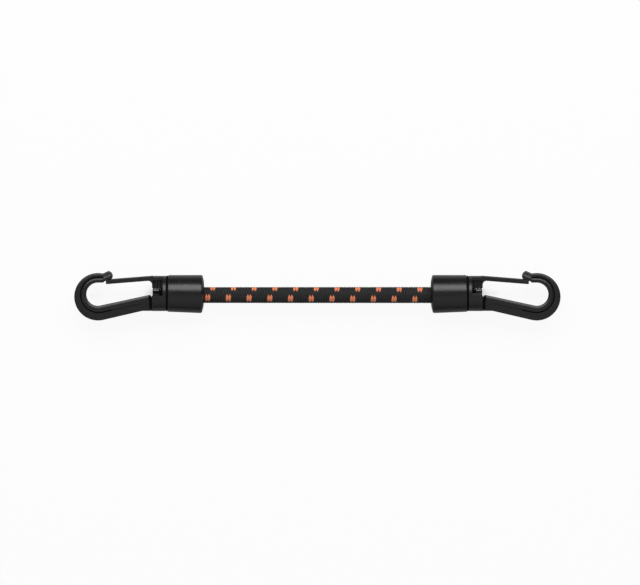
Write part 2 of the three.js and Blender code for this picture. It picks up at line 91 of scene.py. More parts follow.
CORD_TWIST = math.radians(-0.126)  # of the whole braid, in each millimetre
CORD_DROP = 0.83  # towards -Y in the hole of the leaning cap
TRACER_START = -56.35  # where a tracer passes that row of floats
TRACER_CARRIERS = (7, 0)
TRACER_WIDTH = 1.3
TRACER_LIFT = 0.05
THREAD_WIDTH = 1
THREAD_GAP = 0.1
THREADS_ACROSS = 5
THREAD_ROUNDING = 0.12
CORE_STEPS = 60

# Cap
CAP_LENGTH = 18.35
CAP_MOUTH_RADIUS = 9.8
CAP_BACK_RADIUS = 9.45
CAP_WALL_THICKNESS = 1.6
CAP_BOTTOM_THICKNESS = 2.5
CAP_ROUND_RADIUS = 1.1
CAP_CROWN_HEIGHT = 0.65
CAP_BEVEL_WIDTH = 0.3
CAP_LIP_RADIUS = 0.35
CAP_TILT = math.radians(1.1)  # how far the cap leans on its post, its mouth towards -Y
CAP_HOLE_GAP = 0.7
CAP_ROUND_STEPS = 8
CAP_STEPS = 12
CAP_SIDES = 96
FIT_GAP = 0.3  # between pieces that seat in each other
SEAT_GAP = 0.1  # between the cap and the flange of the post

# Crimp
CRIMP_LENGTH = 5
CRIMP_WALL_THICKNESS = 1.5
CRIMP_BEVEL_WIDTH = 0.4
CRIMP_SQUEEZE_DEPTH = 0.35
CRIMP_WAIST_START_SHARE = 0.15
CRIMP_WAIST_LENGTH_SHARE = 0.7
CRIMP_STEPS = 12
CRIMP_SIDES = 64

# Swivel post
PLUG_LENGTH = 2.5
SNAP_HEIGHT = 0.5
SNAP_LENGTH = 1.1
FLANGE_RADIUS = 9.25
FLANGE_THICKNESS = 0.7
RUN_GAP = 0.1  # between the post and the collar, along the cord
FOOT_ROUND_STEPS = 3  # where the shank meets the flange
FLANGE_RIM_WIDTH = 0.15
FLANGE_RIM_DEPTH = 0.2
SHANK_RADIUS = 1.75
SHOULDER_RADIUS = 2.7  # behind the head
HEAD_RADIUS = 3.1
HEAD_ROUND_STEPS = 6
HEAD_MARGIN = 0.01  # beside the start of the head, for rounding errors
BORE_RADIUS = 3.2  # round the head
HEAD_STAND_LENGTH = 1.1  # between the bearing wall and the round back of the head
HEAD_BAND_LENGTH = 2
HEAD_BACK_ROUND = 1.3
HEAD_FRONT_ROUND = 0.8
HEAD_POWER = 4.5  # 2 is a round section, and more is squarer
SLOT_WIDTH = 1
SLOT_LEAN = math.radians(13)
POST_SIDES = 72

# Collar of the hook
COLLAR_LENGTH = 6.9
COLLAR_BACK_LENGTH = 0.4  # how far its rim reaches towards the cap
COLLAR_RADIUS = 9
COLLAR_BEVEL_WIDTH = 0.4
COLLAR_SIDES = 128
BEARING_THICKNESS = 1.4
POCKET_TOP_HEIGHT = 6.8
POCKET_FOOT_DEPTH = 1.2
WEB_THICKNESS = 3.4
RIB_START_LENGTH = 2.1
RIB_COUNT = 3
RIB_WIDTH = 0.7
RIB_HEIGHT = 0.55
SINK_DEPTH = 0.5  # how far joined forms run into each other
OVERRUN_LENGTH = 1  # how far a cutter runs past what it cuts

# Hook
WINDOW_LENGTH = 34
INNER_RADIUS = 6
OUTER_RADIUS = 12.15
BACK_THICKNESS = 5.95
CROWN_THICKNESS = 4.84
INNER_DROP_HEIGHT = 0.39
LEG_INNER_ANGLE = math.radians(12.15)
LEG_OUTER_ANGLE = math.radians(13.05)
HEEL_STEP_DEPTH = 0.1
LEG_NECK_DEPTH = 0.6
NECK_WIDTH = 1.3
NECK_HALF_DEPTH = 2.3
CROWN_ANGLE = math.radians(0.6)
CROWN_STRAIGHT_LENGTH = 2.9
NOTCH_LENGTH = 0.65
NOTCH_ANGLE = math.radians(60)
VALLEY_ANGLE = math.radians(12)
NOSE_UNDER_LENGTH = 4.47
NOSE_UNDER_ANGLE = math.radians(20)
NOSE_TOP_LENGTH = 3.27
NOSE_TOP_ANGLE = math.radians(25.2)
NOSE_CHAMFER_LENGTH = 1.53
NOSE_CHAMFER_ANGLE = math.radians(77.4)
NOSE_CORNER_LENGTH = 1.6
NOSE_CORNER_ANGLE = math.radians(29.9)
BEAD_WIDTH = 2.3
LEG_BEAD_WIDTH = 3.2
BEAD_START_LENGTH = 0.8
BEAD_RAMP_LENGTH = 0.7
BEAD_HALF_DEPTH = 4
INNER_HALF_DEPTH = 3.6
GROOVE_WIDTH = 0.7
GROOVE_DEPTH = 0.7
LEG_GROOVE_SHARE = 0.25  # of that depth, along the leg
GROOVE_START_SHARE = 0.7  # of the leg's length, where the groove starts to deepen
GROOVE_RUN_SHARE = 0.08  # and over which it does
FLANGE_HALF_DEPTH = 3.5
OUTER_BEVEL_WIDTH = 0.9
RAMP_STEPS = 6
LEG_STEPS = 24
LEG_SHARE = 0.96  # of the leg, the rest runs into the round
ROUND_STEPS = 60
CROWN_STEPS = 8
NOSE_ROOT_SHARE = 0.1  # of the nose's top, over the start of its underside
BEAD_STEPS = 14  # across the bead, without the last
BEVEL_STEPS = 6
HOOK_VOXEL = 0.17
HOOK_SMOOTH_ROUNDS = 2
HOOK_SMOOTH_SHARE = 0.5
HOOK_FACE_SHARE = 0.35
HOOK_SWELL = 0.06  # makes up for what the smoothing takes away

# Gate
GATE_ROOT_LENGTH = 3.2
GATE_HEIGHT = 7.62
GATE_TIP_BACK_LENGTH = 1.07
GATE_TIP_DROP_HEIGHT = 0.21
GATE_THICKNESS = 2.5
GATE_HALF_DEPTH = 3.2
GATE_EDGE_RADIUS = 0.5
GATE_TIP_RADIUS = 0.2
NOSE_GAP = 0.03  # between the leaf and the underside of the nose
LEAF_STEP = 0.1  # from the face of the shoulder up to the face of the leaf
GATE_ROUND_LIMIT = 2.2  # thickness of the leaf to the radius of its edges, at least
GATE_STEPS = 60
GATE_TIP_STEPS = 4
SHOULDER_UNDER_HEIGHT = 6.5
SHOULDER_TOP_DEPTH = 0.15  # under the side of the collar
SHOULDER_FILLET_RADIUS = 2
SHOULDER_FILLET_STEPS = 12

# Photograph: its frame in pixels, and how it lies on the object
PHOTO_WIDTH = 640
PHOTO_SCALE = 0.514  # millimetres to a pixel
PHOTO_CENTRE_X = 1.35
PHOTO_CENTRE_Y = 0.49  # above the axis of the cord
CAMERA_DISTANCE = 4.0  # metres
CLIP_RANGE = 100
SENSOR_WIDTH = 36

# Surfaces: how fine the unevenness is, as the scale of a noise, and depths in metres
PATCH_SCALE = 260
STREAK_SCALE = 900
STREAK_DEPTH = 0.00003
GRAIN_SCALE = 5200
GRAIN_DEPTH = 0.000012
FILAMENT_SCALE = 1.6
FILAMENT_DEPTH = 0.00012
FLUFF_SCALE = 3000
FLUFF_DEPTH = 0.00003
RUBBER_SCALE = 700
RUBBER_DEPTH = 0.00003
STEEL_SCALE = 500
SCRATCH_SCALE = 1500
SCRATCH_DEPTH = 0.00002

# Studio, in metres and watts
FLOOR_SIZE = 12
TABLE_WHITE_SHARE = 0.93  # of the table's own white to the camera, beside that of the lamp
TABLE_REACH = 0.15
TABLE_STOPS = (  # place along Y in metres, and grey in reflections: a painted shadow right under the object, painted light brighter on the lamp's side at +Y, dark further off
    (-0.15, 0.05), (-0.06, 0.2), (-0.02, 0.33), (-0.009, 0.25), (0, 0.04), (0.009, 0.25),
    (0.014, 0.5), (0.03, 0.58), (0.045, 0.28), (0.08, 0.16), (0.15, 0.07),
)
STUDIO_STOPS = ((-1, 0.3), (-0.85, 0.42), (-0.5, 0.5), (-0.2, 0.36), (0, 0.18), (0.12, 0.08), (1, 0.05))
SHADE_REACH = 0.015
SHADE_DARK_SHARE = 0.28  # of the sky above that is open where the table shows its shade in full
SHADE_LIGHT_SHARE = 0.35  # and where it shows its white
LAMP_DISTANCE = 1.3
LAMP_LEAN = math.radians(40)  # from overhead towards +Y
LAMP_SIZE = (1.8, 0.8)
LAMP_POWER = 19

# Places along the right end
cap_back = cap_mouth + CAP_LENGTH
flange_end = cap_back + SEAT_GAP + FLANGE_THICKNESS
bearing_end = collar_face + BEARING_THICKNESS + RUN_GAP
head_start = bearing_end + HEAD_STAND_LENGTH


def make_camera():
    data = bpy.data.cameras.new("camera")
    data.sensor_width = SENSOR_WIDTH
    data.lens = SENSOR_WIDTH * CAMERA_DISTANCE / (PHOTO_WIDTH * PHOTO_SCALE * MM)
    data.clip_start = CAMERA_DISTANCE / CLIP_RANGE
    data.clip_end = CAMERA_DISTANCE * CLIP_RANGE
    camera = bpy.data.objects.new("camera", data)
    camera.location = (PHOTO_CENTRE_X * MM, axis_y + PHOTO_CENTRE_Y * MM, axis_z + CAMERA_DISTANCE)
    bpy.context.scene.collection.objects.link(camera)
    bpy.context.scene.camera = camera


# Materials


def new_material(name, colour, roughness, metallic=0.0):
    """A material with its shader, ready for the nodes of its surface"""
    material = bpy.data.materials.new(name)
    material.use_nodes = True
    shader = material.node_tree.nodes["Principled BSDF"]
    shader.inputs["Base Color"].default_value = (*colour, 1)
    shader.inputs["Roughness"].default_value = roughness
    shader.inputs["Metallic"].default_value = metallic
    return material, material.node_tree, shader


def link(tree, source, target):
    tree.links.new(source, target)


def node(tree, kind, **values):
    made = tree.nodes.new(kind)
    for name, value in values.items():
        if name in made.inputs:
            made.inputs[name].default_value = value
        else:
            setattr(made, name, value)
    return made


def noise(tree, vector, scale, detail=2.0, roughness=0.5):
    made = node(tree, "ShaderNodeTexNoise", Scale=scale, Detail=detail, Roughness=roughness)
    link(tree, vector, made.inputs["Vector"])
    return made.outputs["Fac"]


def place(tree, stretch=(1, 1, 1)):
    """The place on the object, stretched for streaks"""
    coordinate = tree.nodes.new("ShaderNodeTexCoord")
    mapping = tree.nodes.new("ShaderNodeMapping")
    mapping.inputs["Scale"].default_value = stretch
    link(tree, coordinate.outputs["Object"], mapping.inputs["Vector"])
    return mapping.outputs["Vector"]


def spread(tree, value, low, high):
    """A value from 0 to 1, spread from low to high"""
    made = node(tree, "ShaderNodeMapRange", **{"To Min": low, "To Max": high})
    link(tree, value, made.inputs["Value"])
    return made.outputs["Result"]


def tint(tree, value, low, high):
    """A colour between two, by a value from 0 to 1"""
    made = tree.nodes.new("ShaderNodeMix")
    made.data_type = "RGBA"
    made.inputs["A"].default_value = (*low, 1)
    made.inputs["B"].default_value = (*high, 1)
    link(tree, value, made.inputs["Factor"])
    return made.outputs["Result"]


def ramp(tree, value, low, high, stops):
    """Greys by a value: (value, brightness) pairs between low and high"""
    share = node(tree, "ShaderNodeMapRange", **{"From Min": low, "From Max": high})
    link(tree, value, share.inputs["Value"])
    made = tree.nodes.new("ShaderNodeValToRGB")
    while len(made.color_ramp.elements) < len(stops):
        made.color_ramp.elements.new(1)
    for element, (at, grey) in zip(made.color_ramp.elements, stops):
        element.position = (at - low) / (high - low)
        element.color = (grey, grey, grey, 1)
    link(tree, share.outputs["Result"], made.inputs["Fac"])
    return made.outputs["Color"]


def raise_bump(tree, shader, height, depth, under=None):
    made = node(tree, "ShaderNodeBump", Strength=1.0, Distance=depth)
    link(tree, height, made.inputs["Height"])
    if under is not None:
        link(tree, under, made.inputs["Normal"])
    link(tree, made.outputs["Normal"], shader.inputs["Normal"])
    return made.outputs["Normal"]


def nylon(name, dark, pale, roughness, streak=(1, 1, 1), specular=0.5):
    """Moulded black nylon: slightly uneven gloss, fine grain, and faint streaks along the piece"""
    material, tree, shader = new_material(name, dark, roughness[0])
    shader.inputs["Specular IOR Level"].default_value = specular
    patches = noise(tree, place(tree), PATCH_SCALE, detail=3)
    streaks = noise(tree, place(tree, streak), STREAK_SCALE, detail=3, roughness=0.6)
    grain = noise(tree, place(tree), GRAIN_SCALE)
    link(tree, tint(tree, patches, dark, pale), shader.inputs["Base Color"])
    link(tree, spread(tree, streaks, *roughness), shader.inputs["Roughness"])
    low = raise_bump(tree, shader, streaks, STREAK_DEPTH)
    raise_bump(tree, shader, grain, GRAIN_DEPTH, low)
    return material


def yarn(name, dark, pale, roughness, sheen):
    """A flat yarn of fine filaments, with a slight twist"""
    material, tree, shader = new_material(name, dark, roughness)
    coordinate = tree.nodes.new("ShaderNodeUVMap")
    coordinate.uv_map = YARN_MAP
    mapping = tree.nodes.new("ShaderNodeMapping")
    mapping.inputs["Rotation"].default_value = (0, 0, FILAMENT_TWIST)
    mapping.inputs["Scale"].default_value = FILAMENT_STRETCH
    link(tree, coordinate.outputs["UV"], mapping.inputs["Vector"])
    filaments = noise(tree, mapping.outputs["Vector"], FILAMENT_SCALE, detail=3, roughness=0.6)
    fluff = noise(tree, place(tree), FLUFF_SCALE)
    contrast = spread(tree, filaments, low=-0.6, high=1.6)
    link(tree, tint(tree, contrast, dark, pale), shader.inputs["Base Color"])
    shader.inputs["Sheen Weight"].default_value = sheen
    shader.inputs["Sheen Roughness"].default_value = 0.5
    low = raise_bump(tree, shader, filaments, FILAMENT_DEPTH)
    raise_bump(tree, shader, fluff, FLUFF_DEPTH, low)
    return material


def rubber():
    material, tree, shader = new_material("natural_rubber", (0.55, 0.42, 0.24), roughness=0.7)
    patches = noise(tree, place(tree, stretch=(0.2, 1, 1)), RUBBER_SCALE, detail=3)
    link(tree, tint(tree, patches, (0.5, 0.37, 0.2), (0.62, 0.5, 0.3)), shader.inputs["Base Color"])
    raise_bump(tree, shader, patches, RUBBER_DEPTH)
    return material


def zinc_steel():
    material, tree, shader = new_material("zinc_steel", (0.62, 0.63, 0.65), roughness=0.35, metallic=1.0)
    scratches = noise(tree, place(tree, stretch=(0.15, 1, 1)), SCRATCH_SCALE, detail=4, roughness=0.6)
    patches = noise(tree, place(tree), STEEL_SCALE, detail=3)
    link(tree, tint(tree, patches, (0.55, 0.56, 0.58), (0.7, 0.71, 0.73)), shader.inputs["Base Color"])
    link(tree, spread(tree, scratches, low=0.25, high=0.5), shader.inputs["Roughness"])
    raise_bump(tree, shader, scratches, SCRATCH_DEPTH)
    return material


# Mesh helpers


def add_object(name, points, faces, material):
    """A smooth mesh from points in millimetres about the middle of the cord"""
    mesh = bpy.data.meshes.new(name)
    mesh.from_pydata([tuple(point) for point in points], [], faces)
    mesh.transform(placement())
    mesh.materials.append(material)
    mesh.shade_smooth()
    made = bpy.data.objects.new(name, mesh)
    bpy.context.scene.collection.objects.link(made)
    return made


def placement():
    return Matrix.Translation((0, axis_y, axis_z)) @ Matrix.Scale(MM, 4)


def turned(points, side):
    """Points of an end in its own frame, turned half round about Y for the left end"""
    points = np.array(points, float)
    return points if side == "right" else points * (-1, 1, -1)


def tube_faces(rings, sides):
    """Faces between rings of points that follow one another, and over the first and the last ring"""
    faces = []
    for ring in range(rings - 1):
        for point in range(sides):
            after = (point + 1) % sides
            low, high = ring * sides, (ring + 1) * sides
            faces.append((low + point, low + after, high + after, high + point))
    last = (rings - 1) * sides
    return faces + [tuple(reversed(range(sides))), tuple(range(last, last + sides))]


def lathe(profile, sides):
    """A closed profile of (place along the axis, radius) pairs, turned about X"""
    points, faces = [], []
    count = len(profile)
    for side in range(sides):
        turn = 2 * math.pi * side / sides
        for along, radius in profile:
            points.append((along, radius * math.cos(turn), radius * math.sin(turn)))
    for side in range(sides):
        low, high = side * count, (side + 1) % sides * count
        for point in range(count):
            after = (point + 1) % count
            faces.append((low + point, high + point, high + after, low + after))
    return points, faces


def arc(centre, radius, start, end, steps):
    """Points on a round stretch, from one angle in degrees to another"""
    points = []
    for step in range(steps + 1):
        turn = math.radians(start + (end - start) * step / steps)
        points.append((centre[0] + radius * math.cos(turn), centre[1] + radius * math.sin(turn)))
    return points


def mend(mesh):
    """Merges points that lie on each other, and turns the faces out"""
    work = bmesh.new()
    work.from_mesh(mesh)
    bmesh.ops.remove_doubles(work, verts=work.verts, dist=MERGE_DISTANCE * MM)
    bmesh.ops.dissolve_degenerate(work, edges=work.edges, dist=MERGE_DISTANCE * MM)
    bmesh.ops.recalc_face_normals(work, faces=work.faces)
    work.to_mesh(mesh)
    work.free()


# Braided cord


def laid(x, around, radius):
    """A point of the braid, twisted with the cord, its floats drawn square to it"""
    place_x = x + TRACER_START - FLOAT_DRAW * math.sin(FLOAT_ROWS * around)
    turn = around + FLOAT_TURN + CORD_TWIST * place_x
    return (place_x, radius * math.sin(turn) - CORD_DROP, radius * math.cos(turn))


def yarn_rings(way, carrier, width, lift):
    """Rings of points along one yarn, from end to end of the cord. Each point rises over two crossing
    yarns and falls under the next two, so the ends of its floats follow the yarns that cross it."""
    count = math.ceil(cord_length / BRAID_PITCH * SAMPLES_PER_TURN)
    middle_radius = BRAID_RADIUS - YARN_RISE - YARN_THICKNESS / 2 + lift
    tilt = math.atan2(2 * math.pi * CORD_RADIUS, BRAID_PITCH)
    own = carrier + (0.5 if way > 0 else 0)
    rings = []
    for sample in range(count + 1):
        along = -cord_length / 2 - TRACER_START + cord_length * sample / count
        turn = 2 * math.pi * (way * along / BRAID_PITCH + own / CARRIERS_EACH_WAY)
        ring = []
        for across, height in YARN_SECTION_SHARES:
            offset = across * width / 2
            x = along + offset * math.sin(tilt)
            around = turn - way * offset * math.cos(tilt) / CORD_RADIUS
            other = (around / (2 * math.pi) + way * x / BRAID_PITCH) * CARRIERS_EACH_WAY
            weave = math.cos(math.pi / 2 * (own + other))
            radius = middle_radius + way * YARN_RISE * weave + height * YARN_THICKNESS / 2
            ring.append(laid(x, around, radius))
        rings.append(ring)
    return rings


def braid_mesh(name, carriers, material, width=YARN_WIDTH, lift=0):
    """The yarns of some carriers, as one mesh with a map along and across each yarn"""
    points, faces, map_values = [], [], []
    sides = len(YARN_SECTION_SHARES)
    for way, carrier in carriers:
        rings = yarn_rings(way, carrier, width, lift)
        base = len(points)
        points += [point for ring in rings for point in ring]
        faces += [tuple(base + i for i in face) for face in tube_faces(len(rings), sides)]
        step = math.dist(rings[1][0], rings[0][0])
        offset = (carrier + CARRIERS_EACH_WAY * (way > 0)) * YARN_MAP_STEP
        for ring in range(len(rings)):
            along = ring * step + offset * YARN_MAP_STRIDE
            map_values += [(along, share / sides + offset) for share in range(sides)]
    made = add_object(name, points, faces, material)
    layer = made.data.uv_layers.new(name=YARN_MAP)
    corners = np.zeros(len(made.data.loops), int)
    made.data.loops.foreach_get("vertex_index", corners)
    layer.data.foreach_set("uv", np.array(map_values)[corners].ravel())
    return made


def rounded_square(width, rounding):
    half = width / 2
    inner = half - rounding
    return [
        (-half, -inner), (-inner, -half), (inner, -half), (half, -inner),
        (half, inner), (inner, half), (-inner, half), (-half, inner),
    ]


def rubber_core(material):
    """Square rubber threads in an array without its corners"""
    points, faces = [], []
    outline = rounded_square(THREAD_WIDTH, THREAD_ROUNDING)
    reach = (THREADS_ACROSS - 1) // 2
    pitch = THREAD_WIDTH + THREAD_GAP
    for row in range(-reach, reach + 1):
        for column in range(-reach, reach + 1):
            if abs(row) + abs(column) == 2 * reach:
                continue
            base = len(points)
            for step in range(CORE_STEPS + 1):
                along = -cord_length / 2 + cord_length * step / CORE_STEPS
                points += [(along, column * pitch + y - CORD_DROP, row * pitch + z) for y, z in outline]
            count = len(outline)
            faces += [tuple(base + i for i in face) for face in tube_faces(CORE_STEPS + 1, count)]
    return add_object("rubber_core", points, faces, material)


def make_cord():
    black = yarn("black_yarn", (0.005, 0.005, 0.006), (0.016, 0.016, 0.017), roughness=0.75, sheen=0.04)
    orange = yarn("orange_yarn", (0.74, 0.17, 0.06), (0.94, 0.31, 0.15), roughness=0.7, sheen=0.08)
    tracers = [(1, carrier) for carrier in TRACER_CARRIERS]
    others = [(1, carrier) for carrier in range(CARRIERS_EACH_WAY) if carrier not in TRACER_CARRIERS]
    falling = [(-1, carrier) for carrier in range(CARRIERS_EACH_WAY)]
    braid = braid_mesh("cord_braid", others + falling, black)
    tracer = braid_mesh("cord_tracer", tracers, orange, TRACER_WIDTH, TRACER_LIFT)
    core = rubber_core(rubber())
    for piece in (braid, tracer, core):
        mend(piece.data)
        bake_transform(piece)
    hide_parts("cord_jacket")
    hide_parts(*[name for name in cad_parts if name.startswith("rubber_thread")])


# Ends of the cord


def quarter_round(start, corner, end, steps=EDGE_STEPS):
    """A round edge from one place to another, bulging to the corner between them"""
    points = []
    for step in range(steps + 1):
        t = step / steps
        first, middle, last = (1 - t) ** 2, 2 * t * (1 - t), t ** 2
        points.append(tuple(first * a + middle * b + last * c for a, b, c in zip(start, corner, end)))
    return points


def make_cap(side, material):
    mouth = cap_mouth + CAP_CROWN_HEIGHT
    hole = CORD_RADIUS + CAP_HOLE_GAP
    bore = CAP_BACK_RADIUS - CAP_WALL_THICKNESS
    back = cap_back
    floor = cap_mouth + CAP_BOTTOM_THICKNESS
    rim_radius = CAP_MOUTH_RADIUS - CAP_ROUND_RADIUS
    crown = []
    for step in range(1, CAP_STEPS):
        radius = hole + CAP_LIP_RADIUS + (rim_radius - hole - CAP_LIP_RADIUS) * step / CAP_STEPS
        fall = ((radius - hole) / (rim_radius - hole)) ** 2
        crown.append((cap_mouth + CAP_CROWN_HEIGHT * fall, radius))
    lip = quarter_round(
        (cap_mouth + CAP_LIP_RADIUS, hole), (cap_mouth, hole), (cap_mouth, hole + CAP_LIP_RADIUS)
    )
    edge = quarter_round(
        (mouth, rim_radius),
        (mouth, CAP_MOUTH_RADIUS),
        (mouth + CAP_ROUND_RADIUS, CAP_MOUTH_RADIUS),
        CAP_ROUND_STEPS,
    )
    back_edge = quarter_round(
        (back - CAP_BEVEL_WIDTH, CAP_BACK_RADIUS),
        (back, CAP_BACK_RADIUS),
        (back, CAP_BACK_RADIUS - CAP_BEVEL_WIDTH),
    )
    walls = [
        (mouth + CAP_ROUND_RADIUS + (back - CAP_BEVEL_WIDTH - mouth - CAP_ROUND_RADIUS) * step / CAP_STEPS,
         CAP_MOUTH_RADIUS + (CAP_BACK_RADIUS - CAP_MOUTH_RADIUS) * step / CAP_STEPS)
        for step in range(1, CAP_STEPS)
    ]
    snap = back - PLUG_LENGTH / 2
    half = SNAP_LENGTH / 2 + FIT_GAP
    inside = [
        (back, bore),
        (snap + half, bore),
        (snap + half / 2, bore + SNAP_HEIGHT),
        (snap - half / 2, bore + SNAP_HEIGHT),
        (snap - half, bore),
        (floor, bore),
        (floor, hole),
    ]
    profile = lip + crown + edge + walls + back_edge + inside
    points, faces = lathe(profile, CAP_SIDES)
    cap = add_object(f"{side}_cap_shell", turned(leant(points), side), faces, material)
    finish_piece(cap, side, "end", "cap_nylon", f"{side}_cap")


def leant(points):
    """Points of an end, leaning with the cap about the middle of the post's plug"""
    middle = np.array((cap_back - PLUG_LENGTH / 2, 0, 0))
    lean = np.array(Matrix.Rotation(CAP_TILT, 3, "Z"))
    return (np.array(points) - middle) @ lean.T + middle


def make_crimp(side, material):
    start = cap_mouth + CAP_BOTTOM_THICKNESS + FIT_GAP
    end = start + CRIMP_LENGTH
    bore = CORD_RADIUS + FIT_GAP
    outside = bore + CRIMP_WALL_THICKNESS
    waist = [
        (start + CRIMP_LENGTH * (CRIMP_WAIST_START_SHARE + CRIMP_WAIST_LENGTH_SHARE * step / CRIMP_STEPS),
         outside - CRIMP_SQUEEZE_DEPTH * math.sin(math.pi * step / CRIMP_STEPS) ** 2)
        for step in range(CRIMP_STEPS + 1)
    ]
    first = quarter_round(
        (start, outside - CRIMP_BEVEL_WIDTH), (start, outside), (start + CRIMP_BEVEL_WIDTH, outside)
    )
    last = quarter_round(
        (end - CRIMP_BEVEL_WIDTH, outside), (end, outside), (end, outside - CRIMP_BEVEL_WIDTH)
    )
    profile = [(start, bore)] + first + waist + last + [(end, bore)]
    points, faces = lathe(profile, CRIMP_SIDES)
    points = np.array(points) - (0, CORD_DROP, 0)
    crimp = add_object(f"{side}_crimp_ring", turned(points, side), faces, material)
    finish_piece(crimp, side, "end", "crimp_steel", f"{side}_crimp")


def post_profile():
    plug = CAP_BACK_RADIUS - CAP_WALL_THICKNESS - FIT_GAP
    flange = cap_back + SEAT_GAP
    band = head_start + HEAD_BACK_ROUND
    band_end = band + HEAD_BAND_LENGTH
    tip = band_end + HEAD_FRONT_ROUND
    snap = cap_back - PLUG_LENGTH / 2
    half = SNAP_LENGTH / 2
    foot_round = quarter_round(
        (flange_end, SHANK_RADIUS + FIT_GAP),
        (flange_end, SHANK_RADIUS),
        (flange_end + RUN_GAP, SHANK_RADIUS),
        FOOT_ROUND_STEPS,
    )
    back_round = quarter_round(
        (head_start, HEAD_RADIUS - HEAD_BACK_ROUND),
        (head_start, HEAD_RADIUS),
        (band, HEAD_RADIUS),
        HEAD_ROUND_STEPS,
    )
    front_round = quarter_round(
        (band_end, HEAD_RADIUS), (tip, HEAD_RADIUS), (tip, HEAD_RADIUS - HEAD_FRONT_ROUND), HEAD_ROUND_STEPS
    )
    return [
        (cap_back - PLUG_LENGTH, plug),
        (snap - half, plug),
        (snap - half / 2, plug + SNAP_HEIGHT),
        (snap + half / 2, plug + SNAP_HEIGHT),
        (snap + half, plug),
        (flange, plug),
        (flange, FLANGE_RADIUS - FLANGE_RIM_DEPTH),
        (flange_end - FLANGE_RIM_WIDTH, FLANGE_RADIUS),
        (flange_end, FLANGE_RADIUS),
        *foot_round,
        (bearing_end, SHANK_RADIUS),
        (bearing_end, SHOULDER_RADIUS),
        (head_start, SHOULDER_RADIUS),
        *back_round,
        *front_round,
    ]


def make_post(side, material, painted_shade_material):
    """The post, its head slightly squared and split by a leaning slot; its flange and shank are darker and
    duller, painted shade in the gaps beside them
    """
    profile = post_profile()
    tip = profile[-1][0]
    points, faces = lathe_solid(profile, POST_SIDES)
    leaning = POST_SIDES * sum(along < cap_back + SEAT_GAP * 2 for along, radius in profile)
    points = np.array(points)
    points[:leaning] = leant(points[:leaning])
    points = [squared_place(*point) if point[0] > head_start + HEAD_MARGIN else point for point in points]
    post = scratch_object("post", (points, faces))
    low = (flange_end + RUN_GAP, -SLOT_WIDTH / 2, -HEAD_RADIUS - OVERRUN_LENGTH)
    high = (tip + OVERRUN_LENGTH, SLOT_WIDTH / 2, HEAD_RADIUS + OVERRUN_LENGTH)
    slot_points, slot_faces = block(low, high)
    lean = np.array(Matrix.Rotation(SLOT_LEAN, 3, "X"))
    combine(post, [(np.array(slot_points) @ lean.T, slot_faces)], "DIFFERENCE")
    points, faces = taken(post)
    post = add_object(f"{side}_post", turned(points, side), faces, material)
    post.data.materials.append(painted_shade_material)
    # Faces before the head (plug, flange and shank) get the darker material: painted shade in the gap
    # between cap and collar and round the shank
    for face in post.data.polygons:
        face.material_index = int(abs(face.center.x) < (head_start - HEAD_MARGIN) * MM)
    finish_piece(post, side, "end", "post_nylon", f"{side}_swivel_post")


def squared_place(x, y, z):
    """A point of the round head, moved in so that the head's section is slightly square"""
    radius = math.hypot(y, z)
    share = (abs(y / radius) ** HEAD_POWER + abs(z / radius) ** HEAD_POWER) ** (-1 / HEAD_POWER)
    corner = 2 ** (0.5 - 1 / HEAD_POWER)
    return (x, y * share / corner, z * share / corner)


def finish_piece(piece, side, body, slot, *nodes):
    mend(piece.data)
    sharpen(piece)
    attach(piece, f"{side}_{body}")
    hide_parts(*nodes)


def sharpen(piece, angle=35):
    """Keeps the edges between faces that meet at a larger angle sharp in shading"""
    piece.data.set_sharp_from_angle(angle=math.radians(angle))


# Outline of the hook: X 0 is the collar's face beside the cap


def polar(centre, distance, angle):
    return (centre[0] + distance * math.cos(angle), centre[1] + distance * math.sin(angle))


def mix(a, b, share):
    return tuple(low + (high - low) * share for low, high in zip(a, b))


def smooth(value):
    value = min(1, max(0, value))
    return value * value * (3 - 2 * value)


inner_end = COLLAR_LENGTH + WINDOW_LENGTH
inner_centre = (inner_end - INNER_RADIUS, -INNER_DROP_HEIGHT)
outer_top = inner_centre[1] + INNER_RADIUS + CROWN_THICKNESS
outer_centre = (inner_end + BACK_THICKNESS - OUTER_RADIUS, outer_top - OUTER_RADIUS)
crown_turn = math.pi / 2 - CROWN_ANGLE
leg_inner = polar(inner_centre, INNER_RADIUS, -math.pi / 2 - LEG_INNER_ANGLE)
leg_outer = polar(outer_centre, OUTER_RADIUS, -math.pi / 2 - LEG_OUTER_ANGLE)
heel_height = -COLLAR_RADIUS + HEEL_STEP_DEPTH
heel_place = leg_outer[0] - (heel_height - leg_outer[1]) / math.tan(LEG_OUTER_ANGLE)
crown_start = polar(inner_centre, INNER_RADIUS, crown_turn)
crown_end = polar(crown_start, CROWN_STRAIGHT_LENGTH, math.pi - CROWN_ANGLE)
valley = polar(outer_centre, OUTER_RADIUS, math.pi / 2 + VALLEY_ANGLE)
nose_start = polar(crown_end, NOTCH_LENGTH, math.pi - NOTCH_ANGLE)
nose_under = polar(nose_start, NOSE_UNDER_LENGTH, math.pi - NOSE_UNDER_ANGLE)
nose_top = polar(valley, NOSE_TOP_LENGTH, math.pi - NOSE_TOP_ANGLE)
nose_front = polar(nose_under, NOSE_CHAMFER_LENGTH, math.pi - NOSE_CHAMFER_ANGLE)
nose_corner = polar(nose_top, NOSE_CORNER_LENGTH, math.pi + NOSE_CORNER_ANGLE)
gate_pivot = (COLLAR_LENGTH + GATE_ROOT_LENGTH, GATE_HEIGHT)
gate_tip = (nose_start[0] - GATE_TIP_BACK_LENGTH, nose_start[1] - GATE_TIP_DROP_HEIGHT)
gate_length = math.dist(gate_tip, gate_pivot)
gate_droop = math.atan2(gate_pivot[1] - gate_tip[1], gate_tip[0] - gate_pivot[0])


def leg_inner_at(x):
    return (x, leg_inner[1] + (leg_inner[0] - x) * math.tan(LEG_INNER_ANGLE))


def leg_outer_at(x):
    return (x, min(heel_height, leg_outer[1] + (leg_outer[0] - x) * math.tan(LEG_OUTER_ANGLE)))


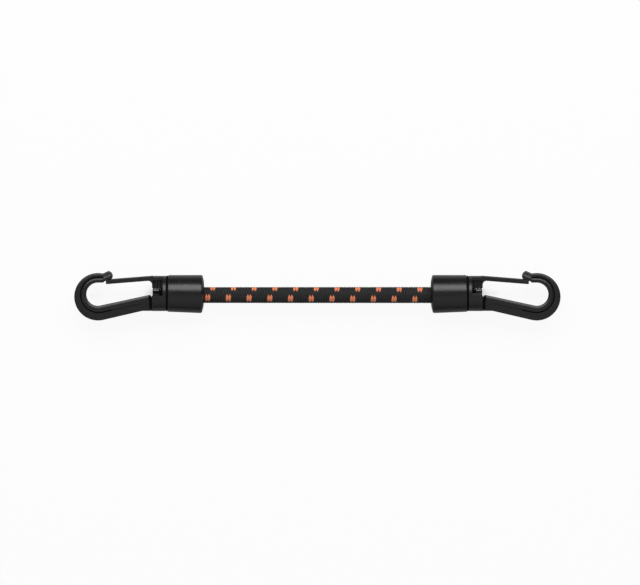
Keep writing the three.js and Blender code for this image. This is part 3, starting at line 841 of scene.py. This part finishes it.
def hook_stations():
    """Lines across the hook, from collar to nose: inner and outer end, width and rise of the bead, groove"""
    stations = []
    bead_start = COLLAR_LENGTH + BEAD_START_LENGTH
    heel = leg_outer_at(heel_place)
    for place_along in (COLLAR_LENGTH - SINK_DEPTH, bead_start):
        x, y = leg_inner_at(place_along)
        stations.append(((x, y - LEG_NECK_DEPTH), leg_outer_at(place_along), LEG_BEAD_WIDTH, 0, 0))
    for step in range(1, RAMP_STEPS + 1):
        place_along = bead_start + BEAD_RAMP_LENGTH * step / RAMP_STEPS
        bead = math.sin(math.pi / 2 * step / RAMP_STEPS)
        x, y = leg_inner_at(place_along)
        inner, outer = (x, y - LEG_NECK_DEPTH * (1 - bead)), leg_outer_at(place_along)
        stations.append((inner, outer, LEG_BEAD_WIDTH, bead, 0))
    heel_inner = leg_inner_at(heel[0] + LEG_BEAD_WIDTH * math.tan(LEG_INNER_ANGLE))
    for step in range(LEG_STEPS + 1):
        share = step / LEG_STEPS * LEG_SHARE
        deepening = smooth((share - GROOVE_START_SHARE) / GROOVE_RUN_SHARE)
        groove = LEG_GROOVE_SHARE + (1 - LEG_GROOVE_SHARE) * deepening
        inner, outer = mix(heel_inner, leg_inner, share), mix(heel, leg_outer, share)
        stations.append((inner, outer, LEG_BEAD_WIDTH, 1, groove))
    inner_sweep = crown_turn + math.pi / 2 + LEG_INNER_ANGLE
    outer_sweep = crown_turn + math.pi / 2 + LEG_OUTER_ANGLE
    for step in range(ROUND_STEPS + 1):
        left = 1 - step / ROUND_STEPS
        inner = polar(inner_centre, INNER_RADIUS, crown_turn - inner_sweep * left)
        outer = polar(outer_centre, OUTER_RADIUS, crown_turn - outer_sweep * left)
        width = BEAD_WIDTH + (LEG_BEAD_WIDTH - BEAD_WIDTH) * left ** 2
        stations.append((inner, outer, width, 1, 1))
    for step in range(1, CROWN_STEPS + 1):
        share = step / CROWN_STEPS
        turn = crown_turn + (VALLEY_ANGLE + CROWN_ANGLE) * share
        outer = polar(outer_centre, OUTER_RADIUS, turn)
        stations.append((mix(crown_start, crown_end, share), outer, BEAD_WIDTH, 1, 1))
    for inner, outer in (
        (nose_start, mix(valley, nose_top, NOSE_ROOT_SHARE)),
        (nose_under, nose_top),
        (nose_front, nose_corner),
    ):
        stations.append((inner, outer, BEAD_WIDTH, 1, 0))
    return stations


def section_profile(thickness, width, bead):
    """Half of the depth across the hook: (distance from the inner edge, half depth) pairs"""
    squeeze = squeezed(thickness, width)
    rise = FLANGE_HALF_DEPTH + (BEAD_HALF_DEPTH - FLANGE_HALF_DEPTH) * bead - INNER_HALF_DEPTH
    edge = thickness - OUTER_BEVEL_WIDTH * squeeze
    profile = []
    for step in range(BEAD_STEPS - 1):
        across = step / BEAD_STEPS
        profile.append((width * across * squeeze, INNER_HALF_DEPTH + rise * (1 - (2 * across - 1) ** 2)))
    profile.append((width * squeeze, FLANGE_HALF_DEPTH))
    profile.append(((width * squeeze + edge) / 2, FLANGE_HALF_DEPTH))
    for step in range(BEVEL_STEPS + 1):
        turn = math.pi / 2 * step / BEVEL_STEPS
        profile.append(
            (edge + OUTER_BEVEL_WIDTH * math.sin(turn) * squeeze,
             FLANGE_HALF_DEPTH - OUTER_BEVEL_WIDTH * (1 - math.cos(turn)))
        )
    return profile


def squeezed(thickness, width):
    return min(1, thickness / (width + GROOVE_WIDTH + OUTER_BEVEL_WIDTH))


def hook_loft():
    rings = []
    for inner, outer, width, bead, groove in hook_stations():
        thickness = math.dist(inner, outer)
        profile = section_profile(thickness, width, bead)
        side = [(*mix(inner, outer, distance / thickness), half) for distance, half in profile]
        rings.append(side + [(x, y, -half) for x, y, half in reversed(side)])
    sides = len(rings[0])
    return [point for ring in rings for point in ring], tube_faces(len(rings), sides)


def groove_cut(face):
    """A V beside the bead, from the leg round to the valley"""
    points, rings = [], 0
    top = FLANGE_HALF_DEPTH + GROOVE_DEPTH
    for inner, outer, width, bead, groove in hook_stations():
        if groove == 0:
            continue
        thickness = math.dist(inner, outer)
        middle = width * squeezed(thickness, width) + GROOVE_WIDTH / 2
        foot = FLANGE_HALF_DEPTH - GROOVE_DEPTH * groove
        reach = GROOVE_WIDTH / 2 * (top - foot) / GROOVE_DEPTH
        for distance, half in ((middle, foot), (middle + reach, top), (middle - reach, top)):
            points.append((*mix(inner, outer, distance / thickness), face * half))
        rings += 1
    return points, tube_faces(rings, 3)


def neck_cut(face):
    """A wedge across the leg beside the collar"""
    top = BEAD_HALF_DEPTH + OVERRUN_LENGTH
    reach = NECK_WIDTH * (top - NECK_HALF_DEPTH) / (FLANGE_HALF_DEPTH - NECK_HALF_DEPTH)
    low, high = leg_outer_at(COLLAR_LENGTH)[1] + OUTER_BEVEL_WIDTH, 0
    wedge = [(COLLAR_LENGTH, NECK_HALF_DEPTH), (COLLAR_LENGTH + reach, top), (COLLAR_LENGTH, top)]
    points = [(x, y, face * z) for y in (low, high) for x, z in wedge]
    return points, tube_faces(2, 3)


def slab(outline, half):
    """An outline in the plane of the hook, given its depth on both sides of that plane"""
    count = len(outline)
    points = [(x, y, -half) for x, y in outline] + [(x, y, half) for x, y in outline]
    return points, tube_faces(2, count)


def block(corner, opposite):
    low, high = np.minimum(corner, opposite), np.maximum(corner, opposite)
    outline = [(low[0], low[1]), (high[0], low[1]), (high[0], high[1]), (low[0], high[1])]
    points = [(x, y, low[2]) for x, y in outline] + [(x, y, high[2]) for x, y in outline]
    return points, tube_faces(2, 4)


def cylinder(start, end, radius, sides=64):
    return lathe_solid([(start, radius), (end, radius)], sides)


def lathe_solid(profile, sides):
    """A profile of (place along the axis, radius) pairs turned about X, closed at both ends"""
    turns = [2 * math.pi * side / sides for side in range(sides)]
    points = []
    for along, radius in profile:
        points += [(along, radius * math.cos(turn), radius * math.sin(turn)) for turn in turns]
    return points, tube_faces(len(profile), sides)


def shoulder_outline():
    back = COLLAR_LENGTH - SINK_DEPTH
    centre = (COLLAR_LENGTH + SHOULDER_FILLET_RADIUS, SHOULDER_UNDER_HEIGHT - SHOULDER_FILLET_RADIUS)
    end = COLLAR_LENGTH + SHOULDER_FILLET_RADIUS
    top = COLLAR_RADIUS - SHOULDER_TOP_DEPTH
    fillet = arc(centre, SHOULDER_FILLET_RADIUS, start=180, end=90, steps=SHOULDER_FILLET_STEPS)
    return [(back, top), (back, centre[1]), *fillet, (end, top)]


def scratch_object(name, shape):
    """A solid that is only joined or cut, in millimetres in the frame of an end"""
    mesh = bpy.data.meshes.new(name)
    mesh.from_pydata([tuple(point) for point in shape[0]], [], shape[1])
    work = bmesh.new()
    work.from_mesh(mesh)
    bmesh.ops.remove_doubles(work, verts=work.verts, dist=MERGE_DISTANCE)
    bmesh.ops.recalc_face_normals(work, faces=work.faces)
    work.to_mesh(mesh)
    work.free()
    made = bpy.data.objects.new(name, mesh)
    bpy.context.scene.collection.objects.link(made)
    return made


def applied(piece):
    """The mesh of an object with its modifiers applied"""
    piece.update_tag()
    bpy.context.view_layer.update()
    graph = bpy.context.evaluated_depsgraph_get()
    mesh = bpy.data.meshes.new_from_object(piece.evaluated_get(graph))
    piece.modifiers.clear()
    piece.data = mesh
    return mesh


def combine(base, shapes, operation):
    """Joins shapes to a base, or cuts them from it"""
    for number, shape in enumerate(shapes):
        other = scratch_object(f"cutter_{number}", shape)
        modifier = base.modifiers.new("combine", "BOOLEAN")
        modifier.operation = operation
        modifier.solver = "MANIFOLD"
        modifier.object = other
        applied(base)
        bpy.data.objects.remove(other)


def hook_mesh():
    """Collar, shoulder and curved hook, melted together as one moulding"""
    base = scratch_object("moulding", lathe_solid(collar_profile(), COLLAR_SIDES))
    combine(base, pocket_blocks(), "DIFFERENCE")
    shapes = web_ribs() + [hook_loft(), slab(shoulder_outline(), GATE_HALF_DEPTH - LEAF_STEP)]
    combine(base, shapes, "UNION")
    shank = SHANK_RADIUS + FIT_GAP
    combine(
        base,
        [
            cylinder(BEARING_THICKNESS, COLLAR_LENGTH + OVERRUN_LENGTH, BORE_RADIUS),
            cylinder(-OVERRUN_LENGTH, COLLAR_LENGTH, shank),
        ],
        "DIFFERENCE",
    )
    modifier = base.modifiers.new("melt", "REMESH")
    modifier.mode = "VOXEL"
    modifier.voxel_size = HOOK_VOXEL
    modifier = base.modifiers.new("soften", "SMOOTH")
    modifier.iterations = HOOK_SMOOTH_ROUNDS
    modifier.factor = HOOK_SMOOTH_SHARE
    modifier = base.modifiers.new("lighten", "DECIMATE")
    modifier.ratio = HOOK_FACE_SHARE
    modifier = base.modifiers.new("swell", "DISPLACE")
    modifier.strength = HOOK_SWELL
    modifier.mid_level = 0
    applied(base)
    combine(base, [groove_cut(-1), groove_cut(1), neck_cut(-1), neck_cut(1)], "DIFFERENCE")
    return taken(base)


def taken(piece):
    """Points and faces of a scratch object, which is removed"""
    mesh = piece.data
    points = np.zeros(len(mesh.vertices) * 3)
    mesh.vertices.foreach_get("co", points)
    faces = [tuple(face.vertices) for face in mesh.polygons]
    bpy.data.objects.remove(piece)
    return points.reshape(-1, 3), faces


def collar_profile():
    start = -COLLAR_BACK_LENGTH
    first = quarter_round(
        (start, COLLAR_RADIUS - COLLAR_BEVEL_WIDTH),
        (start, COLLAR_RADIUS),
        (start + COLLAR_BEVEL_WIDTH, COLLAR_RADIUS),
    )
    last = [(COLLAR_LENGTH + start - along, radius) for along, radius in reversed(first)]
    return first + last


def pocket_blocks():
    """The pocket beside the web, and the room beside the shoulder of the gate, on both faces"""
    shapes = []
    end = COLLAR_LENGTH + OVERRUN_LENGTH
    top = COLLAR_RADIUS + OVERRUN_LENGTH
    for face in (-1, 1):
        floor = (BEARING_THICKNESS, -POCKET_FOOT_DEPTH, face * WEB_THICKNESS / 2)
        wall = (BEARING_THICKNESS, 0, face * (GATE_HALF_DEPTH - LEAF_STEP))
        shapes.append(block(floor, (end, POCKET_TOP_HEIGHT, face * top)))
        shapes.append(block(wall, (end, top, face * top)))
    return shapes


def web_ribs():
    pitch = (COLLAR_LENGTH - RIB_START_LENGTH) / RIB_COUNT
    half = WEB_THICKNESS / 2 + RIB_HEIGHT
    shapes = []
    for rib in range(RIB_COUNT):
        middle = RIB_START_LENGTH + pitch * (rib + 0.5)
        low = (middle - RIB_WIDTH / 2, SHANK_RADIUS, -half)
        high = (middle + RIB_WIDTH / 2, POCKET_TOP_HEIGHT + SINK_DEPTH, half)
        shapes.append(block(low, high))
    return shapes


def make_hooks(material):
    points, faces = hook_mesh()
    points = points + (collar_face, 0, 0)
    for side in SIDES:
        hook = add_object(f"{side}_hook_moulding", turned(points, side), faces, material)
        sharpen(hook, angle=40)
        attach(hook, f"{side}_hook")
        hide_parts(f"{side}_hook_body")


def gate_section(half_thickness, half_depth, radius, steps=5):
    """A rectangle with round corners: (height, depth) pairs"""
    points = []
    for across, up, start in ((1, 1, 0), (-1, 1, 90), (-1, -1, 180), (1, -1, 270)):
        centre = (up * (half_thickness - radius), across * (half_depth - radius))
        for depth, height in arc((centre[1], centre[0]), radius, start, start + 90, steps):
            points.append((height, depth))
    return points


def make_gate(side, material):
    """The springy leaf, from its root in the shoulder to the bevel under the nose"""
    half = GATE_THICKNESS / 2
    fall = NOSE_UNDER_ANGLE - gate_droop
    x, y = nose_start[0] - gate_pivot[0], nose_start[1] - gate_pivot[1]
    seat_x = x * math.cos(gate_droop) - y * math.sin(gate_droop)
    seat_y = x * math.sin(gate_droop) + y * math.cos(gate_droop) - NOSE_GAP / math.cos(fall)
    root = COLLAR_LENGTH - SINK_DEPTH - gate_pivot[0]
    points = []
    blunt = gate_length - GATE_TIP_RADIUS
    lengths = [root + (blunt - root) * step / GATE_STEPS for step in range(GATE_STEPS + 1)]
    for step in range(1, GATE_TIP_STEPS + 1):
        lengths.append(blunt + GATE_TIP_RADIUS * math.sin(math.pi / 2 * step / GATE_TIP_STEPS))
    for along in lengths:
        top = min(half, seat_y + (seat_x - along) * math.tan(fall))
        bottom = -half
        past = max(0, (along - blunt) / GATE_TIP_RADIUS)
        round_in = GATE_TIP_RADIUS * (1 - math.sqrt(max(0, 1 - past ** 2)))
        top, bottom = top - round_in, bottom + round_in
        middle = (top + bottom) / 2
        radius = min(GATE_EDGE_RADIUS, (top - bottom) / GATE_ROUND_LIMIT)
        ring = gate_section((top - bottom) / 2, GATE_HALF_DEPTH - round_in, radius)
        place_x = collar_face + gate_pivot[0]
        for height, depth in ring:
            up = middle + height
            points.append(
                (place_x + along * math.cos(gate_droop) + up * math.sin(gate_droop),
                 gate_pivot[1] - along * math.sin(gate_droop) + up * math.cos(gate_droop),
                 depth)
            )
    sides = len(ring)
    gate = add_object(f"{side}_gate_leaf", turned(points, side), tube_faces(len(lengths), sides), material)
    mend(gate.data)
    sharpen(gate, angle=50)
    height = axis_y + gate_pivot[1] * MM
    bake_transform(gate)
    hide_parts(f"{side}_gate")


def make_ends():
    hook_black = nylon(
        "hook_nylon", (0.007, 0.007, 0.008), (0.011, 0.011, 0.012), roughness=(0.28, 0.4), streak=(0.5, 1, 1)
    )
    cap_black = nylon(
        "cap_nylon", (0.006, 0.006, 0.007), (0.01, 0.01, 0.011), roughness=(0.2, 0.38), streak=(0.12, 1, 1)
    )
    post_black = nylon(
        "post_nylon", (0.005, 0.005, 0.006), (0.009, 0.009, 0.01), roughness=(0.16, 0.26), specular=0.8
    )
    # Darker and duller nylon for the post's flange and shank: painted shade in the gaps beside them
    painted_shade_black = nylon(
        "flange_painted_shade", (0.003, 0.003, 0.003), (0.005, 0.005, 0.005), roughness=(0.6, 0.7), specular=0.05
    )
    steel = zinc_steel()
    for side in SIDES:
        make_cap(side, cap_black)
        make_crimp(side, steel)
        make_post(side, post_black, painted_shade_black)
        make_gate(side, hook_black)
    make_hooks(hook_black)


# Table, lamps and surroundings


def white_if_seen(tree, grey):
    """White to the camera, and another grey to every other ray"""
    path = tree.nodes.new("ShaderNodeLightPath")
    backdrop = tree.nodes.new("ShaderNodeMix")
    backdrop.data_type = "RGBA"
    backdrop.inputs["B"].default_value = (1, 1, 1, 1)
    link(tree, path.outputs["Is Camera Ray"], backdrop.inputs["Factor"])
    link(tree, grey, backdrop.inputs["A"])
    return backdrop.outputs["Result"], path


def make_floor():
    """A white table. To the camera it is nearly all white, but for the shade in the narrow gaps;
    in reflections its grey is painted by place: a painted shadow right under the object, pale beside it and
    paler on the lamp's side, and dark further off."""
    mesh = bpy.data.meshes.new("floor")
    half = FLOOR_SIZE / 2
    corners = [(-half, -half, 0), (half, -half, 0), (half, half, 0), (-half, half, 0)]
    mesh.from_pydata(corners, [], [(0, 1, 2, 3)])
    floor = bpy.data.objects.new("floor", mesh)
    bpy.context.scene.collection.objects.link(floor)
    material, tree, shader = new_material("white_table", (0.86, 0.86, 0.86), roughness=0.9)
    shader.inputs["Specular IOR Level"].default_value = 0.1
    position = tree.nodes.new("ShaderNodeNewGeometry")
    split = tree.nodes.new("ShaderNodeSeparateXYZ")
    link(tree, position.outputs["Position"], split.inputs["Vector"])
    # The grey seen in reflections is painted by place along Y: painted shadow under the object, painted
    # light on the lamp's side
    painted_reflection_grey = ramp(tree, split.outputs["Y"], -TABLE_REACH, TABLE_REACH, TABLE_STOPS)
    colour, path = white_if_seen(tree, painted_reflection_grey)
    glow = node(tree, "ShaderNodeEmission", Strength=1.0)
    link(tree, colour, glow.inputs["Color"])
    shade = node(tree, "ShaderNodeAmbientOcclusion", Distance=SHADE_REACH)
    limits = {"From Min": SHADE_DARK_SHARE, "From Max": SHADE_LIGHT_SHARE, "To Max": TABLE_WHITE_SHARE}
    open_share = node(tree, "ShaderNodeMapRange", **limits)
    link(tree, shade.outputs["AO"], open_share.inputs["Value"])
    share = tree.nodes.new("ShaderNodeMath")
    share.operation = "MULTIPLY_ADD"
    share.use_clamp = True
    link(tree, path.outputs["Is Camera Ray"], share.inputs[0])
    link(tree, open_share.outputs["Result"], share.inputs[1])
    link(tree, path.outputs["Is Glossy Ray"], share.inputs[2])
    blend = tree.nodes.new("ShaderNodeMixShader")
    link(tree, share.outputs["Value"], blend.inputs["Fac"])
    link(tree, shader.outputs["BSDF"], blend.inputs[1])
    link(tree, glow.outputs["Emission"], blend.inputs[2])
    link(tree, blend.outputs["Shader"], tree.nodes["Material Output"].inputs["Surface"])
    mesh.materials.append(material)


def make_world():
    """A white backdrop where it is seen, and a dim studio, darker on the side of the lamp"""
    world = bpy.data.worlds.new("studio")
    bpy.context.scene.world = world
    world.use_nodes = True
    tree = world.node_tree
    background = tree.nodes["Background"]
    coordinate = tree.nodes.new("ShaderNodeTexCoord")
    split = tree.nodes.new("ShaderNodeSeparateXYZ")
    link(tree, coordinate.outputs["Generated"], split.inputs["Vector"])
    colour, _ = white_if_seen(tree, ramp(tree, split.outputs["Y"], -1, 1, STUDIO_STOPS))
    link(tree, colour, background.inputs["Color"])


def make_lamp(name, place_at, size, power):
    data = bpy.data.lights.new(name, "AREA")
    data.shape = "RECTANGLE"
    data.size, data.size_y = size
    data.energy = power
    lamp = bpy.data.objects.new(name, data)
    lamp.location = place_at
    lamp.rotation_mode = "QUATERNION"
    lamp.rotation_quaternion = (Vector((0, 0, 0)) - Vector(place_at)).to_track_quat("-Z", "Y")
    bpy.context.scene.collection.objects.link(lamp)


def make_stage():
    bpy.context.scene.view_settings.view_transform = "Standard"
    make_floor()
    make_world()
    place_at = (0, LAMP_DISTANCE * math.sin(LAMP_LEAN), LAMP_DISTANCE * math.cos(LAMP_LEAN))
    make_lamp("softbox", place_at, LAMP_SIZE, LAMP_POWER)


make_camera()
make_cord()
make_ends()
make_stage()
